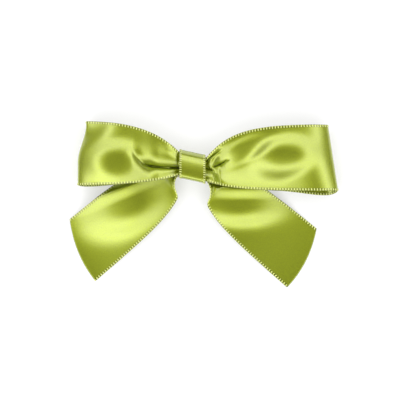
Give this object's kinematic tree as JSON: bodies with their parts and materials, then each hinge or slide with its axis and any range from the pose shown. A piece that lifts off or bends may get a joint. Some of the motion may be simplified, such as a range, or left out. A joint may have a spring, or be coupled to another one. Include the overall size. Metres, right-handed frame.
{
  "type": "pre-made gift bow",
  "caption": "Satin ribbon bow with a loop and a slant-cut tail to each side of a narrow wrapped centre band, and an adhesive pad under a peel-off liner on its back.",
  "frame": {"origin": "on the back of the release liner, under the middle of the knot", "axes": "+X towards the right loop as seen from the front, +Y towards the top of the loops, +Z out of the back towards the front of the bow"},
  "size_m": [0.09, 0.0556, 0.0133],
  "materials": {
    "ribbon_satin": "yellow-green polyester satin, soft sheen, woven selvedge",
    "band_satin": "narrow ribbon of the same yellow-green satin",
    "hot_glue": "cloudy set glue",
    "thread": "twisted polyester thread",
    "foam_pad": "white foam, tacky on both faces",
    "liner_paper": "smooth waxed paper"
  },
  "bodies": {
    "bow": {"left_loop": "ribbon_satin", "right_loop": "ribbon_satin", "left_tail": "ribbon_satin", "right_tail": "ribbon_satin", "centre_band": "band_satin", "glue_bead": "hot_glue", "binding_thread": "thread", "adhesive_pad": "foam_pad"},
    "liner": {"release_liner": "liner_paper"}
  },
  "joints": [
    {"name": "liner_peel", "type": "hinge", "parent": "bow", "child": "liner", "pos_m": [-0.0063, 0, 0.00012], "axis": [0, 1, 0], "range_deg": [0, 150]}
  ]
}
